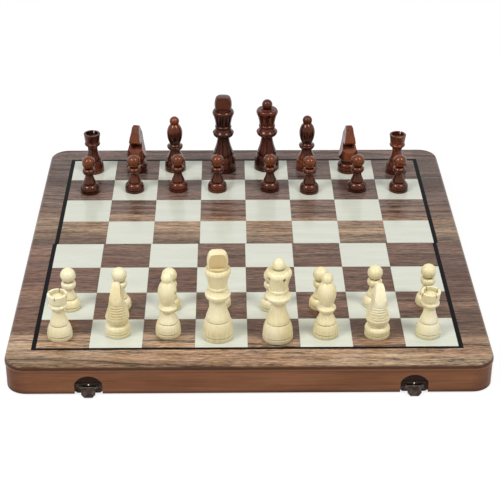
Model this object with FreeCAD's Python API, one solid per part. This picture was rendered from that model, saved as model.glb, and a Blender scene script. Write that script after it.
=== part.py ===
"""Folding chess box, opened flat as its own board, with its thirty-two chessmen standing on it.

Millimetres, +Z up. X runs along the fold, Y across it: the front half lies at -Y and the rear half
at +Y. The origin is on the ground under the middle of the fold. Each half is a shallow tray, open
downward here, whose closed side is half of the playing surface. The halves fold face down about the
hinge pins, rim against rim, and the two flap latches then hold them shut.
"""
import FreeCAD, Part
import math
import os
from collections import namedtuple

Vector = FreeCAD.Vector
X_AXIS = Vector(1, 0, 0)
Y_AXIS = Vector(0, 1, 0)
Z_AXIS = Vector(0, 0, 1)
ORIGIN = Vector(0, 0, 0)
FRONT, REAR = -1, 1            # the two halves, as signs of Y
LEFT_RIGHT = (-1, 1)

# ---- board ---------------------------------------------------------------------------------------
SQUARE = 41.0                  # side of one playing square
FILES = 8
RANKS = 8
LINE_SIDE = 3.6                # width of the black line beside the outer files
LINE_END = 2.9                 # width of the black line beyond the end ranks
BORDER_SIDE = 20.9             # veneered border outside the black line, at the sides
BORDER_END = 23.1              # and at the front and rear
LAYUP_SHIFT = {FRONT: -1.4, REAR: 0.0}   # how far each half's squares were laid off its middle
VENEER = 0.8                   # thickness of squares and line
VENEER_JOINT = 0.1             # open joint between neighbouring squares
PANEL = 5.0                    # thickness of a top panel
PANEL_ROUND = 3.0              # rounded-over upper edge
CORNER = 17.0                  # plan radius of the outer corners
FOLD_GAP = 0.6                 # slot between the two halves when open

# ---- case ----------------------------------------------------------------------------------------
WALL_HEIGHT = 20.0
WALL = 9.0                     # thickness of every wall
WALL_SET = 0.5                 # the walls stand in from the panel's edge by this much
SEAM_GAP = 0.2                 # between the two rims when shut
FELT = 1.0

# ---- butt hinges ---------------------------------------------------------------------------------
HINGE_FROM_END = 68.5          # from the board's side to the middle of each hinge
HINGE_LENGTH = 30.0
BARREL_R = 1.25
HINGE_PIN_R = 0.6
LEAF = 0.8                     # leaf thickness
LEAF_WIDTH = 8.0               # from the pin's axis to the leaf's far edge
KNUCKLES = 5                   # odd ones on the rear leaf, counted from 1
KNUCKLE_GAP = 0.2
PIN_FIT = 0.05                 # running clearance round every pin
MORTISE_FIT = 0.1
BARREL_CLEAR = 0.25
HINGE_SCREW_INSET = 6.0        # from the leaf's end to each screw
HINGE_SCREW_LENGTH = 9.0

# ---- flap latches --------------------------------------------------------------------------------
LATCH_FROM_END = 63.5          # from the board's side to the middle of each latch
LATCH_SHIFT = 1.3              # how far both latches were set off their places
RECESS_FIT = 0.2               # between a latch plate and the sides of its finger recess
RECESS_SIDE = 8.9              # height of those sides above the rim
RECESS_RISE = 15.9             # height of the recess's arch
RECESS_DEPTH = 3.0
PLATE = 1.0                    # thickness of latch and catch plates
PLATE_WIDTH = 21.0
PLATE_TOP = 7.6                # above the rim
PLATE_DROP = 0.6               # the latch plate reaches past its rim by this much
PLATE_ROUND = 2.6
LATCH_PIN_R = 0.6
LATCH_PIN_RISE = 4.4           # pin axis above the rim
LATCH_BARREL_R = 1.2
LATCH_BARREL_GAP = 0.3         # between the flap's barrel and the plate behind it
FLAP = 1.0                     # flap thickness
FLAP_WIDTH = 10.8
FLAP_PAST_SEAM = 2.8           # reach of the shut flap beyond its own rim
FLAP_CORNER = 2.2
FLAP_LEAN = 44.0               # degrees off upright, as it hangs against the table
HOOK_HEIGHT = 0.9              # inward lip along the flap's tip
HOOK_LENGTH = 0.8
LUG_WIDTH = 1.8
LUG_GAP = 0.2
LATCH_SCREW_INSET = 2.6        # from the plate's side to each screw
LATCH_SCREW_RISE = 2.2
LATCH_SCREW_LENGTH = 5.5
NAIL_R = 0.85
NAIL_RISE = 6.65
NAIL_DOME = 0.55
NAIL_SHANK_R = 0.45
NAIL_LENGTH = 5.0
CATCH_START = 0.9              # catch plate's lower edge above the rear rim
CATCH_TOP = 7.4
CATCH_LIP = 0.7                # height of the lip along the rim side
CATCH_LIP_OUT = 1.3            # how far the lip stands off its plate

# ---- countersunk wood screws ---------------------------------------------------------------------
SCREW_HEAD_R = 1.5
SCREW_HEAD = 0.7
SCREW_SHANK_R = 0.8
SCREW_POINT = 1.6
SCREW_SLOT = 0.45
SCREW_SLOT_DEPTH = 0.35
SCREW_FIT = 0.05

# ---- chessmen ------------------------------------------------------------------------------------
# Every man has the same turned foot: a disc, a swelling, a step and an ogee up to the neck.
Foot = namedtuple("Foot", "base_r disc swell_top swell_bow step_r bell_top neck_r neck_top")
PAWN_FOOT = Foot(8.9, 2.6, 8.6, 0.12, 5.9, 9.8, 3.4, 17.9)
ROOK_FOOT = Foot(9.9, 3.3, 11.8, 0.05, 7.2, 13.3, 4.5, 23.4)
KNIGHT_FOOT = Foot(9.9, 2.9, 9.7, 0.2, 7.2, 10.2, 7.0, 10.8)
BISHOP_FOOT = Foot(10.0, 3.2, 11.1, 0.06, 8.0, 12.5, 4.7, 21.0)
QUEEN_FOOT = Foot(11.9, 3.5, 14.8, 0.05, 9.2, 16.2, 5.2, 33.7)
KING_FOOT = Foot(12.1, 3.5, 15.7, 0.05, 9.6, 17.1, 5.4, 34.5)
BASE_EASE = 0.35               # eased edges of the base disc
DISC_GROOVE = 0.7              # depth of the groove over the disc
SWELL_RISE = 2.0               # from the disc up to the swelling's widest ring
SWELL_UNDER_BOW = 0.17
STEP_GROOVE = 0.5              # depth of the groove over the swelling
STEP_BOW = 0.16
OGEE_SPLIT = 0.2               # share of the body's height that is full, before it turns hollow
OGEE_BOW = 0.035               # how far each of its arcs leaves its chord, as a share of the chord
# A bead is an under arc and an over arc. Each passes a point at a share of its way across and up.
BEAD_WIDEST = 0.55             # how far up a bead its widest ring is
BEAD_UNDER = (0.78, 0.4)
BEAD_OVER = (0.75, 0.7)

PAWN_COLLAR_R = 6.0
PAWN_COLLAR = 6.4              # collar height
PAWN_HEAD_R = 6.15
PAWN_HEAD_SINK = 0.7           # depth of the ball's seat in the collar

ROOK_FLARE_R = 6.7             # where the neck's hollow flare meets the ring
ROOK_FLARE = 4.0
ROOK_FLARE_BOW = 0.14
ROOK_RING = 2.7
ROOK_RING_BOW = 0.25
ROOK_GROOVE_R = 6.1            # the groove between ring and drum
ROOK_GROOVE = 1.5
ROOK_GROOVE_BOW = 0.1
ROOK_DRUM_R = 7.0
ROOK_RIM_R = 7.8
ROOK_DRUM = 7.6
ROOK_WALL = 2.1
ROOK_WELL = 3.2
ROOK_SLOTS = 4
ROOK_SLOT = 0.9
ROOK_SLOT_DEPTH = 2.8

BISHOP_COLLAR_R = 7.5
BISHOP_COLLAR_RISE = 3.4       # from the neck to the collar's widest ring
BISHOP_COLLAR_BOW = 0.14
BISHOP_BRIM_R = 6.8            # where the collar's rounding ends
BISHOP_BRIM = 1.1
BISHOP_BRIM_BOW = 0.25
BISHOP_WAIST_R = 4.6           # under the mitre
BISHOP_WAIST = 2.4
BISHOP_WAIST_BOW = 0.16
BISHOP_MITRE_R = 7.4
BISHOP_MITRE_FOOT_R = 5.1
BISHOP_MITRE_TOP_R = 3.5
BISHOP_MITRE = 19.4
BISHOP_MITRE_BELLY = 10.2      # height of the mitre's widest ring
BISHOP_MITRE_BOW = 0.056
BISHOP_MITRE_TOP_BOW = 0.1
BISHOP_BALL_R = 4.6
BISHOP_BALL_SINK = 1.9
BISHOP_CUT = 1.1
BISHOP_CUT_DEPTH = 5.0
BISHOP_CUT_TILT = 35.0

COLLAR_R = 10.0                # king's and queen's collar
COLLAR = 5.6
COLLAR_TOP_R = 9.1
COLLAR_WIDEST = 0.72           # how far up the collar its widest ring is
COLLAR_SLOPE = 3.4
COLLAR_SLOPE_BOW = 0.05
RING_R = 7.2                   # the ring's edges, under the crown
RING = 2.8
RING_BOW = 0.23
CROWN_R = 10.1
CROWN = 11.9
CROWN_BOW = 0.04
CROWN_SHOULDER = 3.6
CROWN_SHOULDER_R = 9.0
CROWN_SHOULDER_BOW = 0.15
QUEEN_SEAT_R = 6.6
QUEEN_SEAT = 1.1
QUEEN_SEAT_TAPER = 0.6
QUEEN_BALL_R = 5.0
QUEEN_BALL_SINK = 1.4
QUEEN_NOTCHES = 5
QUEEN_NOTCH_R = 2.2            # of the V-edged wheel that cuts them
QUEEN_NOTCH_HALF = 1.6         # half the wheel's thickness at its middle
QUEEN_NOTCH_DEPTH = 3.0
QUEEN_NOTCH_DROP = 0.2         # notch centre below the crown's widest ring
KING_SEAT_R = 7.7
KING_SEAT = 1.7                # the flats stop this far above the crown
KING_FINIAL = 14.0
KING_FINIAL_R = 8.2            # at its belly
KING_FINIAL_BELLY = 5.6        # height of the belly
KING_EDGE_R = 7.1              # where the side turns into the rounded edge
KING_EDGE = 1.9                # that place's depth below the top
KING_DOME_R = 5.5              # where the edge turns into the shallow dome
KING_DOME = 0.45
KING_FOOT_BOW = 0.04
KING_SIDE_BOW = 0.05
KING_EDGE_BOW = 0.15
KING_DOME_BOW = 0.02
KING_FLATS = 9.0               # across the finial's two flats

KNIGHT_CHEST_R = 9.4
KNIGHT_CHEST = 5.0             # from the foot's neck up to its widest ring
KNIGHT_CHEST_BOW = 0.08
KNIGHT_SPARE = 1.0             # how far the saw lines run clear of the turned blank
KNIGHT_TOP = 46.6
KNIGHT_HEAD_HALF = 3.4         # half the head's thickness at the ears
KNIGHT_POLL = 2.0              # height of the rounding over the ears
KNIGHT_POLL_BOW = 0.16
KNIGHT_BROW_HALF = 4.7
KNIGHT_BROW_HEIGHT = 36.5      # where the flaring flanks meet the head
KNIGHT_FLANK_BOW = 0.03        # hollow of the flanks
# The horse's side view as (y, z): nape, ears, forehead, nose, jaw, throat and chest.
HORSE = (
    (10.0, 25.0),
    ((8.4, 35.5), (4.2, 44.0)),
    ((2.4, 45.9), (0.6, 46.6)),
    (-1.2, 46.1),
    (-1.5, 44.2),
    (-4.6, 40.4),
    (-8.4, 33.6),
    ((-8.7, 32.2), (-7.4, 31.2)),
    (-3.6, 31.0),
    ((-1.8, 29.2), (-3.2, 27.2)),
    ((-6.4, 24.2), (-10.8, 20.6)),
)
MANE_GROOVES = 6
MANE_GROOVE_R = 0.8
MANE_GROOVE_SINK = 0.5         # depth of the grooves in the turned blank
MANE_PITCH = 2.4
MANE_START = 17.4
BROW_GROOVE_R = 0.55
BROW_GROOVES = ((-3.2, 43.0), (-5.2, 40.0))

Stand = namedtuple("Stand", "name kind side file rank dx dy turn")
# Where each man was set down: his square, how far off its middle, and how far turned, in degrees.
STANDS = (
    Stand("light_rook_a", "rook", FRONT, 0, 0, -3.3, -3.3, -10),
    Stand("light_knight_b", "knight", FRONT, 1, 0, 0.8, 0.9, 178),
    Stand("light_bishop_c", "bishop", FRONT, 2, 0, -0.6, 0.2, 122),
    Stand("light_king", "king", FRONT, 3, 0, -2.5, -3.7, 3),
    Stand("light_queen", "queen", FRONT, 4, 0, 3.2, -6.3, 24),
    Stand("light_bishop_f", "bishop", FRONT, 5, 0, 0.0, -1.6, 200),
    Stand("light_knight_g", "knight", FRONT, 6, 0, -0.6, -3.0, 184),
    Stand("light_rook_h", "rook", FRONT, 7, 0, -1.4, -2.2, 28),
    Stand("light_pawn_a", "pawn", FRONT, 0, 1, 0.4, -1.0, 0),
    Stand("light_pawn_b", "pawn", FRONT, 1, 1, 0.3, -0.6, 0),
    Stand("light_pawn_c", "pawn", FRONT, 2, 1, -0.6, -1.6, 0),
    Stand("light_pawn_d", "pawn", FRONT, 3, 1, -1.2, 1.4, 0),
    Stand("light_pawn_e", "pawn", FRONT, 4, 1, -0.8, -2.7, 0),
    Stand("light_pawn_f", "pawn", FRONT, 5, 1, -2.1, -1.1, 0),
    Stand("light_pawn_g", "pawn", FRONT, 6, 1, 0.8, 1.3, 0),
    Stand("light_pawn_h", "pawn", FRONT, 7, 1, 3.0, 3.1, 0),
    Stand("dark_pawn_a", "pawn", REAR, 0, 6, -1.1, -2.4, 0),
    Stand("dark_pawn_b", "pawn", REAR, 1, 6, -0.6, 0.0, 0),
    Stand("dark_pawn_c", "pawn", REAR, 2, 6, -1.0, 1.7, 0),
    Stand("dark_pawn_d", "pawn", REAR, 3, 6, -5.5, 0.8, 0),
    Stand("dark_pawn_e", "pawn", REAR, 4, 6, 2.6, 1.2, 0),
    Stand("dark_pawn_f", "pawn", REAR, 5, 6, -1.8, -3.0, 0),
    Stand("dark_pawn_g", "pawn", REAR, 6, 6, 1.9, 0.2, 0),
    Stand("dark_pawn_h", "pawn", REAR, 7, 6, -0.2, -1.0, 0),
    Stand("dark_rook_a", "rook", REAR, 0, 7, -1.0, 0.2, -12),
    Stand("dark_knight_b", "knight", REAR, 1, 7, -0.6, 1.4, -8),
    Stand("dark_bishop_c", "bishop", REAR, 2, 7, -4.9, 2.9, 170),
    Stand("dark_king", "king", REAR, 3, 7, 0.2, 3.0, -3),
    Stand("dark_queen", "queen", REAR, 4, 7, 0.7, 6.4, 10),
    Stand("dark_bishop_f", "bishop", REAR, 5, 7, -2.2, 4.1, 190),
    Stand("dark_knight_g", "knight", REAR, 6, 7, -3.5, -0.4, 5),
    Stand("dark_rook_h", "rook", REAR, 7, 7, 1.4, -3.6, -27),
)

# ---- worked out from the sizes above -------------------------------------------------------------
HALF_FIELD_X = SQUARE * FILES / 2
HALF_FIELD_Y = SQUARE * RANKS / 2
HALF_WIDTH = HALF_FIELD_X + LINE_SIDE + BORDER_SIDE
HALF_DEPTH = HALF_FIELD_Y + LINE_END + BORDER_END
RIM_Z = BARREL_R + SEAM_GAP / 2          # the pins' axis lies half a seam below the open rims
PANEL_Z = RIM_Z + WALL_HEIGHT
SURFACE_Z = PANEL_Z + PANEL
FOLD_Y = FOLD_GAP / 2
WALL_X = HALF_WIDTH - WALL_SET           # outer faces of the walls
WALL_Y = HALF_DEPTH - WALL_SET
INNER_X = WALL_X - WALL                  # inner faces of the walls
INNER_Y = WALL_Y - WALL
SPINE_Y = FOLD_Y + WALL
LEAF_START = BARREL_R + KNUCKLE_GAP
HINGE_X = HALF_WIDTH - HINGE_FROM_END    # from the middle of the fold to each hinge
HINGE_SCREW_X = HINGE_LENGTH / 2 - HINGE_SCREW_INSET
HINGE_SCREW_Y = (LEAF_START + LEAF_WIDTH) / 2
LATCH_X = {hand: hand * (HALF_WIDTH - LATCH_FROM_END) + LATCH_SHIFT for hand in LEFT_RIGHT}
LATCH_SCREW_X = PLATE_WIDTH / 2 - LATCH_SCREW_INSET
SEAT_Y = WALL_Y - RECESS_DEPTH           # floor of the finger recess
PLATE_Y = SEAT_Y + PLATE                 # outer face of latch and catch plates
LATCH_PIN_Y = PLATE_Y + LATCH_BARREL_R + LATCH_BARREL_GAP
LATCH_PIN_Z = RIM_Z + LATCH_PIN_RISE
FLAP_LENGTH = LATCH_PIN_RISE + FLAP_PAST_SEAM
REACH = 2 * (HALF_WIDTH + HALF_DEPTH)    # longer than anything here, for cutting


# ---- helpers -------------------------------------------------------------------------------------
def block(x0, x1, y0, y1, z0, z1):
    """A box between two corners, given in any order."""
    low = Vector(min(x0, x1), min(y0, y1), min(z0, z1))
    return Part.makeBox(abs(x1 - x0), abs(y1 - y0), abs(z1 - z0), low)


def rod(radius, start, end):
    """A round bar between two points."""
    along = end - start
    return Part.makeCylinder(radius, along.Length, start, along)


def outline(steps):
    """A closed wire. A step is the next corner, or a pair: a point on an arc, then its end."""
    edges = []
    here = steps[0]
    for step in steps[1:] + steps[:1]:
        if isinstance(step, tuple):
            edges.append(Part.Arc(here, step[0], step[1]).toShape())
            here = step[1]
        elif (step - here).Length > 1e-6:
            edges.append(Part.LineSegment(here, step).toShape())
            here = step
    return Part.Wire(edges)


def prism(steps, along):
    return Part.Face(outline(steps)).extrude(along)


def mapped(steps, place):
    """The same steps, with every pair of numbers made a point by place."""
    return [place(*s) if isinstance(s[0], float) else (place(*s[0]), place(*s[1])) for s in steps]


def turned(steps):
    """A solid turned about the Z axis from steps of (radius, height), which start on the axis."""
    wire = mapped(steps, lambda r, z: Vector(r, 0, z))
    last = steps[-1] if isinstance(steps[-1][0], float) else steps[-1][1]
    if last[0] > 0:
        wire.append(Vector(0, 0, last[1]))
    return Part.Face(outline(wire)).revolve(ORIGIN, Z_AXIS, 360)


def bowed(start, end, bow):
    """An arc to end that leaves its chord by a share of the chord: outward, or inward if negative."""
    (r0, z0), (r1, z1) = start, end
    middle = ((r0 + r1) / 2 + bow * (z1 - z0), (z0 + z1) / 2 - bow * (r1 - r0))
    return middle, end


def joined(shapes):
    """One solid from shapes that overlap or touch."""
    return shapes[0].fuse(shapes[1:]).removeSplitter()


def facing(shape, side):
    """A shape made for the rear half, mirrored if it is the front half's."""
    return shape if side == REAR else shape.mirror(ORIGIN, Y_AXIS)


def export(name, solids):
    """One STEP file of a node's separate solids."""
    whole = solids[0] if len(solids) == 1 else Part.makeCompound(solids)
    whole.exportStep("parts/" + name + ".step")


# ---- wooden case ---------------------------------------------------------------------------------
def tray_plan(inset, z):
    """The rear half's outline, with its two outer corners rounded."""
    x, y, r = HALF_WIDTH - inset, HALF_DEPTH - inset, CORNER - inset
    bulge = r * (1 - math.sqrt(0.5))
    return [
        Vector(-x, FOLD_Y, z),
        Vector(x, FOLD_Y, z),
        Vector(x, y - r, z),
        (Vector(x - bulge, y - bulge, z), Vector(x - r, y, z)),
        Vector(r - x, y, z),
        (Vector(bulge - x, y - bulge, z), Vector(-x, y - r, z)),
    ]


def field_cut(side):
    """The shallow bed for the squares and the black line."""
    shift = LAYUP_SHIFT[side]
    x = HALF_FIELD_X + LINE_SIDE
    y = HALF_FIELD_Y + LINE_END
    return block(shift - x, shift + x, side * FOLD_Y, side * y, SURFACE_Z - VENEER, SURFACE_Z)


def top_panel(side):
    slab = prism(tray_plan(0, PANEL_Z), Z_AXIS * PANEL)
    upper = [e for e in slab.Edges if e.BoundBox.ZMin > SURFACE_Z - 0.01 and e.BoundBox.YMax > SQUARE]
    return facing(slab.makeFillet(PANEL_ROUND, upper), side).cut(field_cut(side))


def square(side, file, row):
    """One veneer square. Row 0 lies along the fold."""
    low = LAYUP_SHIFT[side] - HALF_FIELD_X + file * SQUARE
    near = FOLD_Y if row == 0 else row * SQUARE + VENEER_JOINT / 2
    far = (row + 1) * SQUARE - VENEER_JOINT / 2
    edge = VENEER_JOINT / 2
    return block(low + edge, low + SQUARE - edge, side * near, side * far, SURFACE_Z - VENEER, SURFACE_Z)


def squares(side, dark):
    """The dark or the light squares of one half. The near left corner of the board is dark."""
    found = []
    for file in range(FILES):
        for row in range(RANKS // 2):
            rank = RANKS // 2 + row if side == REAR else RANKS // 2 - 1 - row
            if ((file + rank) % 2 == 0) == dark:
                found.append(square(side, file, row))
    return found


def black_line(side):
    """Two strips beside the outer files and one beyond the end rank."""
    low, top = SURFACE_Z - VENEER, SURFACE_Z
    shift = LAYUP_SHIFT[side]
    end = side * (HALF_FIELD_Y + LINE_END)
    inner = side * HALF_FIELD_Y
    strips = []
    for hand in LEFT_RIGHT:
        near = shift + hand * HALF_FIELD_X
        far = near + hand * LINE_SIDE
        strips.append(block(near, far, side * FOLD_Y, end, low, top))
    strips.append(block(shift - HALF_FIELD_X, shift + HALF_FIELD_X, inner, end, low, top))
    return strips


def wall_ring():
    """The four walls of a half in one piece, before they are cut apart."""
    whole = prism(tray_plan(WALL_SET, RIM_Z), Z_AXIS * WALL_HEIGHT)
    return whole.cut(block(-INNER_X, INNER_X, SPINE_Y, INNER_Y, RIM_Z, PANEL_Z))


def mitre_wedge():
    """All that lies beyond the outer wall's inner face, between its two mitred ends."""
    over = CORNER + WALL
    corners = [
        Vector(-INNER_X, INNER_Y, RIM_Z),
        Vector(INNER_X, INNER_Y, RIM_Z),
        Vector(INNER_X + over, INNER_Y + over, RIM_Z),
        Vector(-INNER_X - over, INNER_Y + over, RIM_Z),
    ]
    return prism(corners, Z_AXIS * WALL_HEIGHT)


def finger_recesses():
    """Arched recesses in the outer wall, as wide as the latch plates that they make room for."""
    half = PLATE_WIDTH / 2 + RECESS_FIT
    side, crown = RIM_Z + RECESS_SIDE, RIM_Z + RECESS_RISE
    cuts = []
    for hand in LEFT_RIGHT:
        x = LATCH_X[hand]
        arch = prism([
            Vector(x - half, SEAT_Y, 0),
            Vector(x + half, SEAT_Y, 0),
            Vector(x + half, SEAT_Y, side),
            (Vector(x, SEAT_Y, crown), Vector(x - half, SEAT_Y, side)),
        ], Y_AXIS * REACH)
        cuts.append(arch)
    return cuts


def outer_wall(side, screws):
    wall = wall_ring().common(mitre_wedge()).cut(finger_recesses())
    return facing(wall, side).cut(screws)


def side_walls(side):
    ends = block(-INNER_X, INNER_X, 0, SPINE_Y, RIM_Z, PANEL_Z)
    pair = wall_ring().cut([mitre_wedge(), ends])
    return facing(pair, side).Solids


def spine_wall(side, screws):
    """The wall along the fold, let in for the hinge leaves and barrels."""
    wall = block(-INNER_X, INNER_X, FOLD_Y, SPINE_Y, RIM_Z, PANEL_Z)
    for hand in LEFT_RIGHT:
        middle = hand * HINGE_X
        reach = HINGE_LENGTH / 2 + MORTISE_FIT
        leaf = LEAF_WIDTH + MORTISE_FIT
        barrel = BARREL_R + BARREL_CLEAR
        wall = wall.cut(block(middle - reach, middle + reach, FOLD_Y, leaf, RIM_Z, RIM_Z + LEAF))
        wall = wall.cut(block(middle - reach, middle + reach, FOLD_Y, barrel, RIM_Z, BARREL_R + barrel))
    return facing(wall, side).cut(screws)


def felt_lining(side):
    return block(-INNER_X, INNER_X, side * SPINE_Y, side * INNER_Y, PANEL_Z - FELT, PANEL_Z)


# ---- screws --------------------------------------------------------------------------------------
def screw(length):
    """A countersunk wood screw. Its slotted head faces -Z at the origin and it points to +Z."""
    body = turned([
        (0.0, 0.0),
        (SCREW_HEAD_R, 0.0),
        (SCREW_SHANK_R, SCREW_HEAD),
        (SCREW_SHANK_R, length - SCREW_POINT),
        (0.0, length),
    ])
    half = SCREW_SLOT / 2
    return body.cut(block(-SCREW_HEAD_R, SCREW_HEAD_R, -half, half, 0, SCREW_SLOT_DEPTH))


def screw_hole(length):
    """The countersunk hole for a screw, larger by the fit."""
    return turned([
        (0.0, -SCREW_FIT),
        (SCREW_HEAD_R + SCREW_FIT, -SCREW_FIT),
        (SCREW_HEAD_R + SCREW_FIT, 0.0),
        (SCREW_SHANK_R + SCREW_FIT, SCREW_HEAD),
        (SCREW_SHANK_R + SCREW_FIT, length + SCREW_FIT),
    ])


def set_in(shape, at, along):
    """Turn a shape's +Z to a direction and move its origin to a point."""
    turn = FreeCAD.Rotation(Z_AXIS, along)
    placed = shape.copy()
    placed.Placement = FreeCAD.Placement(at, turn)
    return placed


def hinge_screw_places(side):
    """Heads flush with the leaves, one each side of a hinge's middle."""
    y = side * HINGE_SCREW_Y
    return [
        Vector(hinge * HINGE_X + hand * HINGE_SCREW_X, y, RIM_Z)
        for hinge in LEFT_RIGHT
        for hand in LEFT_RIGHT
    ]


def latch_screw_places(side):
    """Heads flush with the latch plates in front or the catch plates behind."""
    rise = LATCH_SCREW_RISE if side == FRONT else (CATCH_START + CATCH_TOP) / 2
    return [
        Vector(LATCH_X[latch] + hand * LATCH_SCREW_X, side * PLATE_Y, RIM_Z + rise)
        for latch in LEFT_RIGHT
        for hand in LEFT_RIGHT
    ]


def all_screws(side, make):
    """A screw or a hole at each of one half's screw places."""
    inward = Y_AXIS * -side
    up = [set_in(make(HINGE_SCREW_LENGTH), at, Z_AXIS) for at in hinge_screw_places(side)]
    across = [set_in(make(LATCH_SCREW_LENGTH), at, inward) for at in latch_screw_places(side)]
    return up + across


# ---- butt hinges ---------------------------------------------------------------------------------
def hinge_leaf(side, hand, holes):
    """One leaf with its own share of the knuckles, on the rim of its half."""
    low = hand * HINGE_X - HINGE_LENGTH / 2
    pitch = HINGE_LENGTH / KNUCKLES
    top = RIM_Z + LEAF
    parts = [block(low, low + HINGE_LENGTH, side * LEAF_START, side * LEAF_WIDTH, RIM_Z, top)]
    for knuckle in range(0 if side == REAR else 1, KNUCKLES, 2):
        start = low + knuckle * pitch + KNUCKLE_GAP / 2
        end = start + pitch - KNUCKLE_GAP
        parts.append(rod(BARREL_R, Vector(start, 0, BARREL_R), Vector(end, 0, BARREL_R)))
        parts.append(block(start, end, side * HINGE_PIN_R, side * LEAF_START, RIM_Z, top))
    bore = rod(HINGE_PIN_R + PIN_FIT, Vector(low, 0, BARREL_R), Vector(low + HINGE_LENGTH, 0, BARREL_R))
    return joined(parts).cut([bore] + holes)


def hinge_pin(hand):
    low = hand * HINGE_X - HINGE_LENGTH / 2 + KNUCKLE_GAP / 2
    high = low + HINGE_LENGTH - KNUCKLE_GAP
    return rod(HINGE_PIN_R, Vector(low, 0, BARREL_R), Vector(high, 0, BARREL_R))


# ---- flap latches --------------------------------------------------------------------------------
def plate_plan(low, high, rounded_low):
    """A plate on the recess floor, in the rear half's frame, with one pair of corners rounded."""
    half = PLATE_WIDTH / 2
    r = PLATE_ROUND
    bulge = r * (1 - math.sqrt(0.5))

    def at(x, z):
        return Vector(x, SEAT_Y, z)

    if rounded_low:
        steps = [
            at(half, high),
            at(-half, high),
            at(-half, low + r),
            (at(bulge - half, low + bulge), at(r - half, low)),
            at(half - r, low),
            (at(half - bulge, low + bulge), at(half, low + r)),
        ]
    else:
        steps = [at(-half, low), at(half, low), at(half, high), at(-half, high)]
    return prism(steps, Y_AXIS * PLATE)


def latch_plate(hand, holes):
    """The plate on the front wall, with two lugs that carry the flap's pin."""
    parts = [plate_plan(RIM_Z - PLATE_DROP, RIM_Z + PLATE_TOP, True)]
    for side in LEFT_RIGHT:
        near = side * (FLAP_WIDTH / 2 + LUG_GAP)
        far = near + side * LUG_WIDTH
        z = LATCH_PIN_Z
        web = LATCH_BARREL_R * 0.8
        parts.append(rod(LATCH_BARREL_R, Vector(near, LATCH_PIN_Y, z), Vector(far, LATCH_PIN_Y, z)))
        parts.append(block(near, far, SEAT_Y, LATCH_PIN_Y, z - web, z + web))
    reach = PLATE_WIDTH / 2
    start, end = Vector(-reach, LATCH_PIN_Y, LATCH_PIN_Z), Vector(reach, LATCH_PIN_Y, LATCH_PIN_Z)
    nail_at = Vector(0, SEAT_Y - REACH, RIM_Z + NAIL_RISE)
    nail_hole = rod(NAIL_SHANK_R + SCREW_FIT, nail_at, nail_at + Y_AXIS * 2 * REACH)
    plate = joined(parts).cut([rod(LATCH_PIN_R + PIN_FIT, start, end), nail_hole])
    plate.translate(X_AXIS * LATCH_X[hand])
    return facing(plate, FRONT).cut(holes)


def latch_flap(hand):
    """The flap, drawn shut with its outer face at +Y, then leant out to where it rests."""
    half = FLAP_WIDTH / 2
    cut = FLAP_CORNER
    tip = -FLAP_LENGTH
    outer = LATCH_BARREL_R
    inner = LATCH_BARREL_R - FLAP
    plan = [
        Vector(-half, inner, 0),
        Vector(half, inner, 0),
        Vector(half, inner, tip + cut),
        Vector(half - cut, inner, tip),
        Vector(cut - half, inner, tip),
        Vector(-half, inner, tip + cut),
    ]
    slab = prism(plan, Y_AXIS * FLAP)
    barrel = rod(LATCH_BARREL_R, Vector(-half, 0, 0), Vector(half, 0, 0))
    hook = block(cut - half, half - cut, inner - HOOK_HEIGHT, outer, tip, tip + HOOK_LENGTH)
    bore = rod(LATCH_PIN_R + PIN_FIT, Vector(-half, 0, 0), Vector(half, 0, 0))
    flap = joined([slab, barrel, hook]).cut(bore)
    flap.rotate(ORIGIN, X_AXIS, FLAP_LEAN)
    flap.translate(Vector(LATCH_X[hand], LATCH_PIN_Y, LATCH_PIN_Z))
    return facing(flap, FRONT)


def latch_pin(hand):
    reach = FLAP_WIDTH / 2 + LUG_GAP + LUG_WIDTH
    middle = Vector(LATCH_X[hand], -LATCH_PIN_Y, LATCH_PIN_Z)
    return rod(LATCH_PIN_R, middle - X_AXIS * reach, middle + X_AXIS * reach)


def nail(radius, head):
    """A domed nail through the top of the latch plate. It points to +Z from its head."""
    steps = [(0.0, 0.0), (radius, 0.0), (radius, NAIL_LENGTH)]
    if head:
        rim = NAIL_R
        lift = -NAIL_DOME
        steps = [(0.0, lift), ((rim * 0.75, lift * 0.66), (rim, 0.0)), (radius, 0.0), (radius, NAIL_LENGTH)]
    return turned(steps)


def nails(radius, head):
    places = [Vector(LATCH_X[hand], -PLATE_Y, RIM_Z + NAIL_RISE) for hand in LEFT_RIGHT]
    return [set_in(nail(radius, head), at, Y_AXIS) for at in places]


def catch_plate(hand, holes):
    """The rear half's plate, whose lip the flap hooks over when the box is shut."""
    half = FLAP_WIDTH / 2
    low = RIM_Z + CATCH_START
    plate = plate_plan(low, RIM_Z + CATCH_TOP, False)
    lip = block(-half, half, SEAT_Y, PLATE_Y + CATCH_LIP_OUT, low, low + CATCH_LIP)
    catch = joined([plate, lip])
    catch.translate(X_AXIS * LATCH_X[hand])
    return catch.cut(holes)


# ---- chessmen ------------------------------------------------------------------------------------
def ogee(start, end):
    """A full arc and a hollow one above it, which meet without a corner."""
    (r0, z0), (r1, z1) = start, end
    turn = (r0 + (r1 - r0) * OGEE_SPLIT, z0 + (z1 - z0) * OGEE_SPLIT)
    return [bowed(start, turn, OGEE_BOW), bowed(turn, end, -OGEE_BOW)]


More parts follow.
